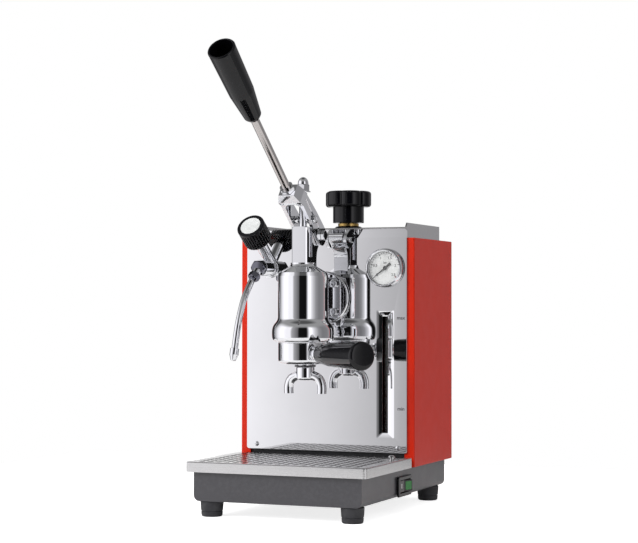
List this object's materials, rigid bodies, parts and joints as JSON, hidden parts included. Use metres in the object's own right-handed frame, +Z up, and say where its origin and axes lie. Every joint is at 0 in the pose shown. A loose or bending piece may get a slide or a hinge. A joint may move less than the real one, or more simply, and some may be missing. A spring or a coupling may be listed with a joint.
{
  "type": "lever espresso machine",
  "caption": "Free-standing hand-lever espresso machine: red housing, mirror front, lever fork on a slotted guide neck, portafilter, steam valve, boiler cap, gauge and drip tray.",
  "frame": {"origin": "bottom centre of the bounding box, on the surface that the feet stand on", "axes": "X to the right seen from the front, Y to the back, Z up"},
  "size_m": [0.2026, 0.4066, 0.4669],
  "materials": {
    "base_paint": "dark metallic paint, satin",
    "rubber": "black rubber",
    "black_steel": "black, satin",
    "red_paint": "red powder coat",
    "mirror_steel": "mirror polished",
    "steel": "satin steel",
    "chrome": "bright chrome",
    "brass": "plain brass",
    "black_plastic": "black, semi gloss",
    "white_plastic": "off white",
    "green_plastic": "translucent green",
    "glass": "clear",
    "seal": "black rubber"
  },
  "bodies": {
    "machine": {"base_pan": "base_paint", "foot_front_left": "rubber", "foot_front_right": "rubber", "foot_back_left": "rubber", "foot_back_right": "rubber", "deck_plate": "black_steel", "red_housing": "red_paint", "front_plate": "mirror_steel", "plate_screw_left": "chrome", "plate_screw_right": "chrome", "cup_cover": "steel", "boiler": "brass", "heating_element": "steel", "boiler_stand": "black_steel", "boiler_collar": "chrome", "sight_tube": "glass", "gauge_case": "chrome", "gauge_dial": "white_plastic", "gauge_glass": "glass", "group_body": "chrome", "flange_screw_1": "chrome", "flange_screw_2": "chrome", "flange_screw_3": "chrome", "flange_screw_4": "chrome", "guide_head": "chrome", "group_gasket": "seal", "shower_screen": "steel", "steam_valve": "chrome", "pipe_nut": "chrome", "switch_bezel": "black_plastic", "cord_gland": "black_plastic"},
    "piston": {"piston_rod": "chrome", "piston_seal_lower": "seal", "piston_seal_upper": "seal", "rod_nut": "chrome", "crosshead_pin": "chrome", "pin_bush_left": "chrome", "pin_bush_right": "chrome"},
    "lever": {"lever_fork": "chrome", "lever_lock_nut": "black_steel", "lever_rod": "chrome", "lever_grip": "black_plastic", "fulcrum_bolt": "chrome"},
    "portafilter": {"filter_body": "chrome", "filter_basket": "steel", "handle_ferrule": "chrome", "filter_handle": "black_plastic", "spout_collar": "seal", "twin_spout": "chrome"},
    "steam_control": {"steam_stem": "chrome", "steam_knob": "black_plastic", "steam_knob_cap": "white_plastic"},
    "steam_wand": {"steam_pipe": "chrome", "steam_nozzle": "chrome"},
    "boiler_cap": {"cap_plug": "brass", "cap_knob": "black_plastic"},
    "needle": {"gauge_needle": "black_plastic"},
    "rocker": {"switch_rocker": "green_plastic"},
    "pan": {"tray_pan": "black_steel"},
    "lid": {"tray_lid": "steel"}
  },
  "joints": [
    {"name": "piston_slide", "type": "slide", "parent": "machine", "child": "piston", "axis": [0, 0, 1], "range_m": [-0.0276, 0.0058]},
    {"name": "lever_swing", "type": "hinge", "parent": "piston", "child": "lever", "pos_m": [-0.00133, 0.00276, 0.305], "axis": [-1, 0, 0], "range_deg": [-63, 13]},
    {"name": "portafilter_turn", "type": "hinge", "parent": "machine", "child": "portafilter", "pos_m": [-0.00133, 0.00276, 0.17], "axis": [0, 0, -1], "range_deg": [0, 45]},
    {"name": "steam_knob_turn", "type": "hinge", "parent": "machine", "child": "steam_control", "pos_m": [-0.06633, 0.04776, 0.2757], "axis": [-0.0502, -0.7774, 0.627], "range_deg": [0, 360]},
    {"name": "steam_wand_swing", "type": "hinge", "parent": "machine", "child": "steam_wand", "pos_m": [-0.06733, 0.03226, 0.2517], "axis": [-0.1751, -0.6568, -0.7334], "range_deg": [-25, 30]},
    {"name": "boiler_cap_turn", "type": "hinge", "parent": "machine", "child": "boiler_cap", "pos_m": [-0.00133, 0.13176, 0.3], "axis": [0, 0, 1], "range_deg": [0, 720]},
    {"name": "gauge_needle_turn", "type": "hinge", "parent": "machine", "child": "needle", "pos_m": [0.06717, 0.06346, 0.2554], "axis": [0, 1, 0], "range_deg": [0, 256]},
    {"name": "switch_tip", "type": "hinge", "parent": "machine", "child": "rocker", "pos_m": [0.09077, 0.05426, 0.0275], "axis": [0, 0, 1], "range_deg": [0, 16]},
    {"name": "tray_pan_lift", "type": "slide", "parent": "machine", "child": "pan", "axis": [0, 0, 1], "range_m": [0, 0.03]},
    {"name": "tray_lid_lift", "type": "slide", "parent": "pan", "child": "lid", "axis": [0, 0, 1], "range_m": [0, 0.03]}
  ],
  "couplings": [
    {"joint": "piston_slide", "follows": "lever_swing", "m_per_rad": 0.025}
  ]
}
